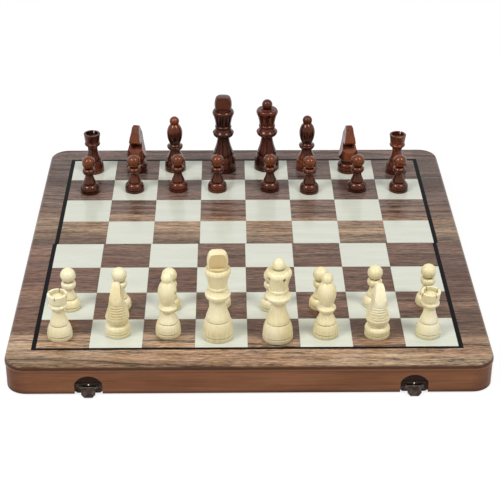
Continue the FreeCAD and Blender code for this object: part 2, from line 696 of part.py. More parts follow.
def foot_steps(foot):
    """The foot that all the men share, from the axis at the ground to the top of the neck."""
    ease = BASE_EASE
    seam = (foot.base_r - DISC_GROOVE, foot.disc)
    widest = (foot.base_r - ease / 2, foot.disc + SWELL_RISE)
    top = (foot.step_r + STEP_GROOVE, foot.swell_top)
    groove = (foot.step_r - STEP_GROOVE, foot.swell_top + ease)
    step = (foot.step_r, foot.bell_top)
    return [
        (0.0, 0.0),
        (foot.base_r - ease, 0.0),
        (foot.base_r, ease),
        (foot.base_r, foot.disc - ease),
        seam,
        bowed(seam, widest, SWELL_UNDER_BOW),
        bowed(widest, top, foot.swell_bow),
        groove,
        bowed(groove, step, STEP_BOW),
    ] + ogee(step, (foot.neck_r, foot.neck_top))


def ball_steps(z, radius, sink):
    """A ball that sits sunk a little in whatever carries it at height z."""
    centre = z - sink + radius
    neck = math.sqrt(radius * radius - (radius - sink) ** 2)
    return [(neck, z), ((radius, centre), (0.0, centre + radius))]


def bead_steps(z, height, inner_r, outer_r, top_r, widest=BEAD_WIDEST):
    """A rounded ring from inner_r at z out to outer_r, at a share of its height, and back to top_r."""
    belly, top = z + height * widest, z + height
    (out, up), (back, over) = BEAD_UNDER, BEAD_OVER
    return [
        (inner_r, z),
        ((inner_r + (outer_r - inner_r) * out, z + (belly - z) * up), (outer_r, belly)),
        ((top_r + (outer_r - top_r) * back, belly + (top - belly) * over), (top_r, top)),
    ]


def pawn():
    collar = bead_steps(PAWN_FOOT.neck_top, PAWN_COLLAR, PAWN_FOOT.neck_r, PAWN_COLLAR_R, PAWN_FOOT.neck_r)
    ball = ball_steps(PAWN_FOOT.neck_top + PAWN_COLLAR, PAWN_HEAD_R, PAWN_HEAD_SINK)
    return turned(foot_steps(PAWN_FOOT) + collar + ball)


def rook():
    """A short hollow drum over a ring, with saw cuts down from its rim."""
    neck = (ROOK_FOOT.neck_r, ROOK_FOOT.neck_top)
    flare = (ROOK_FLARE_R, neck[1] + ROOK_FLARE)
    ring = (ROOK_FLARE_R, flare[1] + ROOK_RING)
    groove = (ROOK_GROOVE_R, ring[1] + ROOK_GROOVE)
    top = groove[1] + ROOK_DRUM
    well_r = ROOK_RIM_R - ROOK_WALL
    man = turned(foot_steps(ROOK_FOOT) + [
        bowed(neck, flare, -ROOK_FLARE_BOW),
        bowed(flare, ring, ROOK_RING_BOW),
        bowed(ring, groove, ROOK_GROOVE_BOW),
        (ROOK_DRUM_R, groove[1] + BASE_EASE),
        (ROOK_RIM_R, top - BASE_EASE),
        (ROOK_RIM_R - BASE_EASE, top),
        (well_r, top),
        (well_r, top - ROOK_WELL),
    ])
    cuts = []
    for slot in range(ROOK_SLOTS):
        saw = block(-ROOK_SLOT / 2, ROOK_SLOT / 2, 0, 2 * ROOK_RIM_R, top - ROOK_SLOT_DEPTH, top + ROOK_WELL)
        saw.rotate(ORIGIN, Z_AXIS, slot * 360 / ROOK_SLOTS)
        cuts.append(saw)
    return man.cut(cuts)


def bishop():
    """An egg-shaped mitre with a slanting saw cut, and a ball on top."""
    foot = BISHOP_FOOT
    neck = (foot.neck_r, foot.neck_top)
    widest = (BISHOP_COLLAR_R, foot.neck_top + BISHOP_COLLAR_RISE)
    brim = (BISHOP_BRIM_R, widest[1] + BISHOP_BRIM)
    waist = (BISHOP_WAIST_R, brim[1] + BISHOP_WAIST)
    seat = waist[1] + BASE_EASE
    low = (BISHOP_MITRE_FOOT_R, seat)
    belly = (BISHOP_MITRE_R, seat + BISHOP_MITRE_BELLY)
    top = (BISHOP_MITRE_TOP_R, seat + BISHOP_MITRE)
    man = turned(foot_steps(foot) + [
        bowed(neck, widest, BISHOP_COLLAR_BOW),
        bowed(widest, brim, BISHOP_BRIM_BOW),
        bowed(brim, waist, -BISHOP_WAIST_BOW),
        low,
        bowed(low, belly, BISHOP_MITRE_BOW),
        bowed(belly, top, BISHOP_MITRE_TOP_BOW),
    ] + ball_steps(top[1], BISHOP_BALL_R, BISHOP_BALL_SINK))
    reach = 3 * BISHOP_MITRE_R
    saw = block(-reach, reach, -reach, 0, -BISHOP_CUT / 2, BISHOP_CUT / 2)
    saw.rotate(ORIGIN, X_AXIS, -BISHOP_CUT_TILT)
    saw.translate(Vector(0, BISHOP_CUT_DEPTH - BISHOP_MITRE_R, belly[1]))
    return man.cut(saw)


def crown_steps(foot):
    """Collar, ring and flared crown, which the king and the queen share."""
    slope = foot.neck_top + COLLAR
    ring = slope + COLLAR_SLOPE
    flare = ring + RING
    rim = flare + CROWN
    collar_top, ring_low, ring_high = (COLLAR_TOP_R, slope), (RING_R, ring), (RING_R, flare)
    widest, shoulder = (CROWN_R, rim), (CROWN_SHOULDER_R, rim + CROWN_SHOULDER)
    collar = bead_steps(foot.neck_top, COLLAR, foot.neck_r, COLLAR_R, COLLAR_TOP_R, COLLAR_WIDEST)
    steps = collar + [
        bowed(collar_top, ring_low, -COLLAR_SLOPE_BOW),
        bowed(ring_low, ring_high, RING_BOW),
        bowed(ring_high, widest, -CROWN_BOW),
        bowed(widest, shoulder, CROWN_SHOULDER_BOW),
    ]
    return steps, rim


def queen():
    """A flared crown with V notches cut round it, and a ball on top."""
    crown, rim = crown_steps(QUEEN_FOOT)
    seat = rim + CROWN_SHOULDER
    top = seat + QUEEN_SEAT
    step = [(QUEEN_SEAT_R, seat), (QUEEN_SEAT_R - QUEEN_SEAT_TAPER, top)]
    man = turned(foot_steps(QUEEN_FOOT) + crown + step + ball_steps(top, QUEEN_BALL_R, QUEEN_BALL_SINK))
    out = CROWN_R - QUEEN_NOTCH_DEPTH + QUEEN_NOTCH_R
    centre = Vector(0, -out, rim - QUEEN_NOTCH_DROP)
    faces = [Part.makeCone(QUEEN_NOTCH_R, 0, QUEEN_NOTCH_HALF, centre, X_AXIS * side) for side in LEFT_RIGHT]
    cuts = []
    for notch in range(QUEEN_NOTCHES):
        wheel = joined(faces)
        wheel.rotate(ORIGIN, Z_AXIS, notch * 360 / QUEEN_NOTCHES)
        cuts.append(wheel)
    return man.cut(cuts)


def king():
    """A flared crown under a turned finial that is flattened front and back."""
    crown, rim = crown_steps(KING_FOOT)
    seat = rim + CROWN_SHOULDER
    top = seat + KING_FINIAL
    foot = (KING_SEAT_R, seat + KING_SEAT)
    belly = (KING_FINIAL_R, seat + KING_FINIAL_BELLY)
    edge = (KING_EDGE_R, top - KING_EDGE)
    dome = (KING_DOME_R, top - KING_DOME)
    finial = turned([
        (0.0, rim),
        (KING_SEAT_R, rim),
        foot,
        bowed(foot, belly, KING_FOOT_BOW),
        bowed(belly, edge, KING_SIDE_BOW),
        bowed(edge, dome, KING_EDGE_BOW),
        bowed(dome, (0.0, top), KING_DOME_BOW),
    ])
    half = KING_FLATS / 2
    whole = block(-CROWN_R, CROWN_R, -CROWN_R, CROWN_R, rim, seat + KING_SEAT)
    flats = block(-CROWN_R, CROWN_R, -half, half, rim, top)
    flattened = finial.common(whole.fuse(flats))
    return joined([turned(foot_steps(KING_FOOT) + crown), flattened])


def knight_side():
    """The horse's side view, facing -Y, sawn straight through. It leaves the turned chest whole."""
    wide = KNIGHT_CHEST_R + KNIGHT_SPARE
    steps = [(-wide, 0.0), (wide, 0.0)] + list(HORSE)
    return prism(mapped(steps, lambda y, z: Vector(-wide, y, z)), X_AXIS * 2 * wide)


def knight_front():
    """The front view: flanks that sweep in from the full chest to a thin head."""
    wide = KNIGHT_CHEST_R + KNIGHT_SPARE
    chest = (KNIGHT_CHEST_R, KNIGHT_FOOT.neck_top + KNIGHT_CHEST)
    brow = (KNIGHT_BROW_HALF, KNIGHT_BROW_HEIGHT)
    ears = (KNIGHT_HEAD_HALF, KNIGHT_TOP - KNIGHT_POLL)
    poll = (0.0, KNIGHT_TOP)
    steps = [
        (0.0, 0.0),
        (wide, 0.0),
        (wide, chest[1] - KNIGHT_SPARE),
        chest,
        bowed(chest, brow, -KNIGHT_FLANK_BOW),
        bowed(brow, ears, -KNIGHT_FLANK_BOW),
        bowed(ears, poll, KNIGHT_POLL_BOW),
    ]
    half = prism(mapped(steps, lambda x, z: Vector(x, -wide, z)), Y_AXIS * 2 * wide)
    return joined([half, half.mirror(ORIGIN, X_AXIS)])


def knight():
    """A turned blank sawn to a horse's head from the side and from the front."""
    neck = (KNIGHT_FOOT.neck_r, KNIGHT_FOOT.neck_top)
    chest = (KNIGHT_CHEST_R, neck[1] + KNIGHT_CHEST)
    blank = turned(foot_steps(KNIGHT_FOOT) + [
        bowed(neck, chest, KNIGHT_CHEST_BOW),
        (KNIGHT_CHEST_R, KNIGHT_TOP + KNIGHT_SPARE),
    ])
    man = blank.common(knight_side()).common(knight_front())
    ring_r = KNIGHT_CHEST_R + MANE_GROOVE_R - MANE_GROOVE_SINK
    cuts = []
    for groove in range(MANE_GROOVES):
        centre = Vector(0, 0, MANE_START + groove * MANE_PITCH)
        ring = Part.makeTorus(ring_r, MANE_GROOVE_R, centre, Z_AXIS)
        cuts.append(ring.common(block(-REACH, REACH, 0, REACH, 0, REACH)))
    for y, z in BROW_GROOVES:
        cuts.append(rod(BROW_GROOVE_R, Vector(-KNIGHT_CHEST_R, y, z), Vector(KNIGHT_CHEST_R, y, z)))
    return man.cut(cuts)


MAKERS = {"pawn": pawn, "rook": rook, "knight": knight, "bishop": bishop, "queen": queen, "king": king}


def standing(man, stand):
    """A man turned and set down on his square."""
    placed = man.copy()
    placed.rotate(ORIGIN, Z_AXIS, stand.turn)
    x = LAYUP_SHIFT[stand.side] - HALF_FIELD_X + (stand.file + 0.5) * SQUARE + stand.dx
    y = (stand.rank + 0.5) * SQUARE - HALF_FIELD_Y + stand.dy
    placed.translate(Vector(x, y, SURFACE_Z))
    return placed


# ---- export --------------------------------------------------------------------------------------
def write_half(label, side):
    """The wooden parts and screws of one half."""
    holes = all_screws(side, screw_hole)
    if side == FRONT:
        holes += nails(NAIL_SHANK_R + SCREW_FIT, False)
    export(label + "_top_panel", [top_panel(side)])
    export(label + "_dark_squares", squares(side, True))
    export(label + "_light_squares", squares(side, False))
    export(label + "_inlay_line", black_line(side))
    export(label + "_outer_wall", [outer_wall(side, holes)])
    export(label + "_side_walls", side_walls(side))
    export(label + "_spine_wall", [spine_wall(side, holes)])
    export(label + "_felt_lining", [felt_lining(side)])
    export(label + "_screws", all_screws(side, screw))
    export("hinge_leaves_" + label, [hinge_leaf(side, hand, holes) for hand in LEFT_RIGHT])
    return holes


def write_latches(front_holes, rear_holes):
    for hand, label in ((-1, "left"), (1, "right")):
        export("latch_plate_" + label, [latch_plate(hand, front_holes)])
        export("latch_flap_" + label, [latch_flap(hand)])
    export("latch_pins", [latch_pin(hand) for hand in LEFT_RIGHT])
    export("latch_nails", nails(NAIL_SHANK_R, True))
    export("catch_plates", [catch_plate(hand, rear_holes) for hand in LEFT_RIGHT])
    export("hinge_pins", [hinge_pin(hand) for hand in LEFT_RIGHT])


def write_men():
    men = {kind: make() for kind, make in MAKERS.items()}
    for stand in STANDS:
        export(stand.name, [standing(men[stand.kind], stand)])


def main():
    os.makedirs("parts", exist_ok=True)
    front_holes = write_half("front", FRONT)
    rear_holes = write_half("rear", REAR)
    write_latches(front_holes, rear_holes)
    write_men()


main()
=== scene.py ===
import bpy
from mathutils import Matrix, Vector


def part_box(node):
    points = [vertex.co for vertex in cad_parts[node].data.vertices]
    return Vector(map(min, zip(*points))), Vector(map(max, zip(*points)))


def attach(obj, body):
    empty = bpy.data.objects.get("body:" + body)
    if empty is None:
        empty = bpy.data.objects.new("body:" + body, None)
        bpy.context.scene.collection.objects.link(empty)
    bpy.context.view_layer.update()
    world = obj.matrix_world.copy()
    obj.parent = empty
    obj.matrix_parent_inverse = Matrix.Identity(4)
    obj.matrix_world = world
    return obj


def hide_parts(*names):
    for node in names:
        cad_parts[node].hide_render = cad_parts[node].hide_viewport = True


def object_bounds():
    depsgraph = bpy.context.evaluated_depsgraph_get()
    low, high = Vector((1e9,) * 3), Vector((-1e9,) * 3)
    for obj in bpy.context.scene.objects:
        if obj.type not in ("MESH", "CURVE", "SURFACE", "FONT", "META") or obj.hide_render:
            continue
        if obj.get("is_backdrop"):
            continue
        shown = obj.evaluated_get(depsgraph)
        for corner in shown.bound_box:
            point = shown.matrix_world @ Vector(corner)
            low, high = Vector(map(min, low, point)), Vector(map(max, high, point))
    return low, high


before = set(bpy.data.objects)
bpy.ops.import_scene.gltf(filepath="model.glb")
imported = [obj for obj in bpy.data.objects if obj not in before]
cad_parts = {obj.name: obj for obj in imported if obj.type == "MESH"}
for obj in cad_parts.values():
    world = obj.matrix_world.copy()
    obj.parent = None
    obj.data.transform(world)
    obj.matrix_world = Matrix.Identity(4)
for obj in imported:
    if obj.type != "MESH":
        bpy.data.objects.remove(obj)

# Folding chess box, opened flat as its own board, with its thirty-two chessmen standing on it.
# Metres, +Z up, X along the fold and Y across it, as in the CAD model.
CAD_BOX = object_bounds()

MM = 0.001
PANEL_LOW, PANEL_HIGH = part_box("rear_top_panel")
BOARD_TOP = PANEL_HIGH.z                          # height of the playing surface
PANEL = BOARD_TOP - PANEL_LOW.z                   # thickness of the panel
HALF_DEPTH = PANEL_HIGH.y                         # from the fold to the front or rear edge
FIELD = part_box("rear_dark_squares")[1].x          # from the middle to the side of the squares
WALL_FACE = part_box("rear_outer_wall")[1].y        # from the fold to a front or rear wall's outer face


# ---- how the finishes are made --------------------------------------------------------------------
NOISE_LOW, NOISE_HIGH = 0.3, 0.7                  # nearly all of a noise's values lie between these
WOOD_IOR = 1.5                                    # lacquered or waxed wood
NOOK_RAYS = 8                                     # samples that find how deep in a nook a spot lies
WHITE = "FFFFFF"


def colour(hexed):
    """An sRGB hex value as the linear RGBA that a shader socket takes."""
    parts = [int(hexed[i:i + 2], 16) / 255 for i in (0, 2, 4)]
    return [c / 12.92 if c <= 0.04045 else ((c + 0.055) / 1.055) ** 2.4 for c in parts] + [1.0]


def add(tree, kind, sockets=(), stops=(), **settings):
    """A new shader node with its settings. A socket's value is a constant, or an output to link."""
    node = tree.nodes.new("ShaderNode" + kind)
    for name, value in settings.items():
        setattr(node, name, value)
    for name, value in dict(sockets).items():
        if isinstance(value, bpy.types.NodeSocket):
            tree.links.new(value, node.inputs[name])
        else:
            node.inputs[name].default_value = value
    if stops:
        elements = node.color_ramp.elements
        while len(elements) < len(stops):
            elements.new(1.0)
        for element, (at, hexed) in zip(elements, stops):
            element.position = at
            element.color = colour(hexed)
    return node


def finish(name):
    """A new material with an empty tree. Returns both."""
    material = bpy.data.materials.new(name)
    material.use_nodes = True
    material.node_tree.nodes.clear()
    return material, material.node_tree


def surface(tree, sockets):
    """The material's Principled shader, wired to its output."""
    shader = add(tree, "BsdfPrincipled", sockets)
    add(tree, "OutputMaterial", {"Surface": shader.outputs[0]})


def stretched(tree, place, grain, **noise):
    """Noise whose grains have this length in X and this width in Y and Z, in metres."""
    long, wide = grain
    scaled = add(tree, "Mapping", {"Vector": place, "Scale": (1 / long, 1 / wide, 1 / wide)})
    settings = {"Scale": 1.0, "Detail": 4.0, "Roughness": 0.6}
    settings.update(noise)
    return add(tree, "TexNoise", {"Vector": scaled.outputs[0], **settings}).outputs["Fac"]


def sum_of(tree, terms):
    """Each output multiplied by its share, and all of them added up."""
    total = 0.0
    for output, share in terms:
        total = add(tree, "Math", {0: output, 1: share, 2: total}, operation="MULTIPLY_ADD").outputs[0]
    return total


def product_of(tree, *factors):
    """The outputs multiplied together. Of masks, that leaves what all of them cover."""
    product = factors[0]
    for factor in factors[1:]:
        product = add(tree, "Math", {0: product, 1: factor}, operation="MULTIPLY").outputs[0]
    return product


# ---- American walnut veneer, sliced with the grain and finished in satin lacquer ------------------
# It shows brown bands from pale to nearly black, with short dark pores and a soft sheen. One sheet
# to each half of the case, with the pale squares let into it, so that its bands run on from border
# to border. Growth lines wander a little and slope as they go. Fibres and pores are about 0.2 mm
# wide, and are drawn 1.0 and 0.7 mm wide so that they show. Each pattern has a length and a width.
SHEET_APART = 2.3                                 # metres of log between the two sheets
SLOPE = 0.035                                     # how far the grain comes forward on its way right
BEND_SIZE, BEND = (230 * MM, 90 * MM), 34 * MM    # the lines' slow bends, and how far they stray
RIPPLE_SIZE, RIPPLE = (46 * MM, 22 * MM), 9 * MM
GROWTH_LINE = 6.0 * MM
WALNUT_BAND = (120 * MM, 9 * MM)
WALNUT_FIBRE = (15 * MM, 1.0 * MM)
WALNUT_PORE = (4.5 * MM, 0.7 * MM)
WALNUT_CAST = (70 * MM, 18 * MM)                  # patches that look redder
FIGURE_SHARES = (0.20, 0.17, 0.41, 0.22)          # of the growth lines, bands, fibres and pores
FIGURE_LOW, FIGURE_HIGH = 0.39, 0.61              # their sum's usual range
FIGURE_DARK, FIGURE_PALE = 0.05, 1.89             # what it does to the sheet's own colour
RUDDY, RUDDY_SHARE = "E8B9A4", 0.38
RUDDY_FROM, RUDDY_FULL = 0.42, 0.62               # levels of the cast
STREAK, STREAK_SHARE = "33241D", 0.45
STREAK_FROM, STREAK_FULL = 0.44, 0.33             # only the darkest growth lines
WALNUT_SMOOTH, WALNUT_DULL = 0.2, 0.3             # roughness, from the smoothest spots to the dullest
WALNUT_RELIEF = {"Strength": 0.2, "Distance": 0.05 * MM}
WALNUT_GLEAM = "EDCDB2"                           # the lacquer's warm tint

# Where the pale sapwood and the dark heartwood lie across each sheet, from its Y in millimetres.
FRONT_SHEET = ((-190, "867059"), (-174, "A98F74"), (-158, "9E856C"), (-149, "8A725D"), (-140, "6C5445"),
               (-124, "654C40"), (-104, "70574A"), (-92, "7B6251"), (-80, "674E43"), (-56, "6B5347"),
               (-40, "624B41"), (-22, "745C4F"), (-2, "70564B"))
REAR_SHEET = ((0, "6F5A4C"), (7, "86705C"), (22, "A0876E"), (38, "957C66"), (50, "947A64"),
              (58, "755D50"), (76, "7A6559"), (94, "78635A"), (114, "5F4C46"), (138, "66554F"),
              (160, "6E5A53"), (190, "715C53"))

# How the veneer's tone changes toward the sides: 1 is no change, and less is darker. The front
# sheet changes slowly across its outer squares, and the rear half has side strips of other leaves.
FRONT_LEFT_END, FRONT_LEFT = 0.88, 1.2            # at the front edge, and behind it, near the sapwood
END_FROM, END_TO = -173 * MM, -150 * MM           # where in Y the one turns into the other
FRONT_LEFT_FROM, FRONT_LEFT_FULL = -100 * MM, -170 * MM
FRONT_RIGHT = 0.86
FRONT_RIGHT_FROM, FRONT_RIGHT_FULL = 120 * MM, 178 * MM
REAR_LEFT, REAR_RIGHT = 0.84, 0.74
STRIP_JOINT = 2 * MM                              # where the leaf changes, under the black line

# The stain on the panel's edge, with painted shade in it, by millimetres below the playing surface.
EDGE_STAIN_AND_SHADE = ((1.6, "472B20"), (2.46, "3A2116"), (3.2, "40251A"), (3.96, "7F5239"))
EDGE_FROM, EDGE_FULL = 0.48 * MM, 1.44 * MM       # where it sets in, and where it covers
EDGE_SHARE = 0.94


def sheet_tones(sheet):
    """A sheet's colours as the stops of a ramp from the front edge to the rear edge."""
    return [((y * MM + HALF_DEPTH) / (2 * HALF_DEPTH), hexed) for y, hexed in sheet]


def walnut_ground(tree, warped, in_front):
    """The slow change from sapwood to heartwood, with a sheet of its own for either half."""
    middle = (BEND + RIPPLE) / 2
    across = add(tree, "MapRange", {0: warped, 1: middle - HALF_DEPTH, 2: middle + HALF_DEPTH}).outputs[0]
    front = add(tree, "ValToRGB", {0: across}, stops=sheet_tones(FRONT_SHEET)).outputs[0]
    rear = add(tree, "ValToRGB", {0: across}, stops=sheet_tones(REAR_SHEET)).outputs[0]
    return add(tree, "Mix", {0: in_front, 6: rear, 7: front}, data_type="RGBA").outputs[2]


def walnut_sides(tree, x, y, in_front):
    """How much paler or darker the veneer is toward each side."""
    sapwood = add(tree, "MapRange", {0: y, 1: END_FROM, 2: END_TO,
                                     3: FRONT_LEFT_END, 4: FRONT_LEFT}).outputs[0]
    front_left = add(tree, "MapRange", {0: x, 1: FRONT_LEFT_FROM, 2: FRONT_LEFT_FULL,
                                        3: 1.0, 4: sapwood}).outputs[0]
    front_right = add(tree, "MapRange", {0: x, 1: FRONT_RIGHT_FROM, 2: FRONT_RIGHT_FULL,
                                         3: 1.0, 4: FRONT_RIGHT}).outputs[0]
    rear_left = add(tree, "MapRange", {0: x, 1: -FIELD, 2: -FIELD - STRIP_JOINT,
                                       3: 1.0, 4: REAR_LEFT}).outputs[0]
    rear_right = add(tree, "MapRange", {0: x, 1: FIELD, 2: FIELD + STRIP_JOINT,
                                        3: 1.0, 4: REAR_RIGHT}).outputs[0]
    rear = product_of(tree, rear_left, rear_right)
    front = product_of(tree, front_left, front_right)
    return add(tree, "Mix", {0: in_front, 2: rear, 3: front}).outputs[0]


def walnut_edge(tree, z, base):
    """The panel's edge, stained with the case, with painted shade that is darkest where the veneer ends.
    """
    depth = add(tree, "MapRange", {0: z, 1: BOARD_TOP, 2: BOARD_TOP - PANEL}).outputs[0]
    stops = [(down * MM / PANEL, hexed) for down, hexed in EDGE_STAIN_AND_SHADE]
    stain_and_shade = add(tree, "ValToRGB", {0: depth}, stops=stops).outputs[0]
    cover = add(tree, "MapRange", {0: z, 1: BOARD_TOP - EDGE_FROM, 2: BOARD_TOP - EDGE_FULL,
                                   3: 0.0, 4: EDGE_SHARE}).outputs[0]
    return add(tree, "Mix", {0: cover, 6: base, 7: stain_and_shade}, data_type="RGBA").outputs[2]


def walnut():
    material, tree = finish("walnut_veneer_satin")
    place = add(tree, "TexCoord").outputs["Object"]
    x, y, z = add(tree, "SeparateXYZ", {0: place}).outputs
    in_front = add(tree, "Math", {0: y, 1: 0.0}, operation="LESS_THAN").outputs[0]
    apart = add(tree, "CombineXYZ", {0: in_front}).outputs[0]
    sheet = add(tree, "VectorMath", {0: apart, 1: (SHEET_APART,) * 3, 2: place},
                operation="MULTIPLY_ADD").outputs[0]
    bend = stretched(tree, sheet, BEND_SIZE, Detail=1.0)
    ripple = stretched(tree, sheet, RIPPLE_SIZE, Detail=2.0)
    warped = sum_of(tree, [(bend, BEND), (ripple, RIPPLE), (x, SLOPE), (y, 1.0)])

    lines_at = add(tree, "Math", {0: warped, 1: 1 / GROWTH_LINE}, operation="MULTIPLY").outputs[0]
    lines = add(tree, "TexNoise", {"W": lines_at, "Scale": 1.0, "Detail": 5.0, "Roughness": 0.65},
                noise_dimensions="1D").outputs["Fac"]
    bands = stretched(tree, sheet, WALNUT_BAND, Detail=3.0)
    fibres = stretched(tree, sheet, WALNUT_FIBRE, Detail=3.0, Roughness=0.7)
    pores = stretched(tree, sheet, WALNUT_PORE, Detail=1.0)
    figure = sum_of(tree, zip((lines, bands, fibres, pores), FIGURE_SHARES))
    gain = add(tree, "MapRange", {0: figure, 1: FIGURE_LOW, 2: FIGURE_HIGH,
                                  3: FIGURE_DARK, 4: FIGURE_PALE}).outputs[0]
    gain = product_of(tree, gain, walnut_sides(tree, x, y, in_front))
    base = add(tree, "VectorMath", {0: walnut_ground(tree, warped, in_front), "Scale": gain},
               operation="SCALE").outputs[0]

    cast = stretched(tree, sheet, WALNUT_CAST, Detail=2.0)
    ruddy = add(tree, "MapRange", {0: cast, 1: RUDDY_FROM, 2: RUDDY_FULL,
                                   3: 0.0, 4: RUDDY_SHARE}).outputs[0]
    base = add(tree, "Mix", {0: ruddy, 6: base, 7: colour(RUDDY)}, data_type="RGBA",
               blend_type="MULTIPLY").outputs[2]
    streak = add(tree, "MapRange", {0: lines, 1: STREAK_FROM, 2: STREAK_FULL, 3: 0.0, 4: STREAK_SHARE},
                 interpolation_type="SMOOTHSTEP").outputs[0]
    base = add(tree, "Mix", {0: streak, 6: base, 7: colour(STREAK)}, data_type="RGBA").outputs[2]
    base = walnut_edge(tree, z, base)
    rough = add(tree, "MapRange", {0: fibres, 1: NOISE_LOW, 2: NOISE_HIGH,
                                   3: WALNUT_SMOOTH, 4: WALNUT_DULL}).outputs[0]
    bump = add(tree, "Bump", {"Height": fibres, **WALNUT_RELIEF}).outputs[0]
    surface(tree, {"Base Color": base, "Roughness": rough, "Normal": bump, "IOR": WOOD_IOR,
                   "Specular IOR Level": 0.3, "Specular Tint": colour(WALNUT_GLEAM)})
    return material


# ---- bleached maple veneer under satin lacquer: pale, close grained and almost without figure -----
# The fibres are finer than a tenth of a millimetre, and are drawn 1.2 mm wide.
MAPLE_CLOUD = (60 * MM, 9 * MM)
MAPLE_FIBRE = (18 * MM, 1.2 * MM)
MAPLE_SHARES = (0.6, 0.4)
MAPLE_TONES = [(0.3, "CACDBE"), (0.5, "D2D5C6"), (0.7, "DADCCF")]
MAPLE_SMOOTH, MAPLE_DULL = 0.13, 0.2


def maple():
    material, tree = finish("bleached_maple_veneer_satin")
    place = add(tree, "TexCoord").outputs["Object"]
    cloud = stretched(tree, place, MAPLE_CLOUD, Detail=3.0)
    fibre = stretched(tree, place, MAPLE_FIBRE, Detail=2.0)
    tone = sum_of(tree, zip((cloud, fibre), MAPLE_SHARES))
    base = add(tree, "ValToRGB", {0: tone}, stops=MAPLE_TONES).outputs[0]
    rough = add(tree, "MapRange", {0: fibre, 1: NOISE_LOW, 2: NOISE_HIGH,
                                   3: MAPLE_SMOOTH, 4: MAPLE_DULL}).outputs[0]
    surface(tree, {"Base Color": base, "Roughness": rough, "IOR": WOOD_IOR, "Specular IOR Level": 0.5})
    return material


# ---- veneer dyed black right through: an even, quiet black in which the grain only just shows -----
# Its fibres are drawn 0.9 mm wide, coarser than life.
LINE_FIBRE = (12 * MM, 0.9 * MM)
LINE_TONES = [(0.35, "050407"), (0.7, "0E0D11")]


def dyed_line():
    material, tree = finish("black_dyed_veneer_satin")
    place = add(tree, "TexCoord").outputs["Object"]
    fibre = stretched(tree, place, LINE_FIBRE, Detail=3.0)
    base = add(tree, "ValToRGB", {0: fibre}, stops=LINE_TONES).outputs[0]
    surface(tree, {"Base Color": base, "Roughness": 0.42, "IOR": WOOD_IOR, "Specular IOR Level": 0.05})
    return material


# ---- poplar walls, wiped with a red-brown stain: warm and matt, with painted shade at edges and in hollows ----
# The grain is drawn 1.8 mm wide, coarser than life.
POPLAR_BLOTCH = (70 * MM, 16 * MM)
POPLAR_GRAIN = (45 * MM, 1.8 * MM)
POPLAR_SHARES = (0.55, 0.45)
POPLAR_TONES = [(0.3, "693F28"), (0.5, "805338"), (0.7, "916344")]
POPLAR_SMOOTH, POPLAR_DULL = 0.34, 0.48
POPLAR_RELIEF = {"Strength": 0.3, "Distance": 0.08 * MM}
RIM_SHADE, RIM_SHADE_SHARE = "40231A", 0.8
RIM_SHADE_FROM, RIM_SHADE_FULL = 4.2 * MM, 1.2 * MM           # the heights over which painted shade darkens the walls' bottom rim
NOOK_SHADE, NOOK_SHADE_REACH = "2A1610", 5 * MM
CORNER_SHADE, CORNER_SHADE_SHARE = "35190F", 0.55
CORNER_X, CORNER_Y = 170 * MM, 172 * MM           # where painted shade on a rounded outer corner begins
CORNER_REACH = 16 * MM                            # and how far on it is full
RECESS_SHADE = "2E140D"
RECESS_X = 150 * MM                               # the finger recesses lie nearer to the middle
RECESS_FROM, RECESS_FULL = 2.0 * MM, 2.7 * MM     # depths under the wall's face where the painted shade sets in and where it is full
RECESS_DEEPEST = 5.0 * MM                         # past this depth a face is no longer in a recess


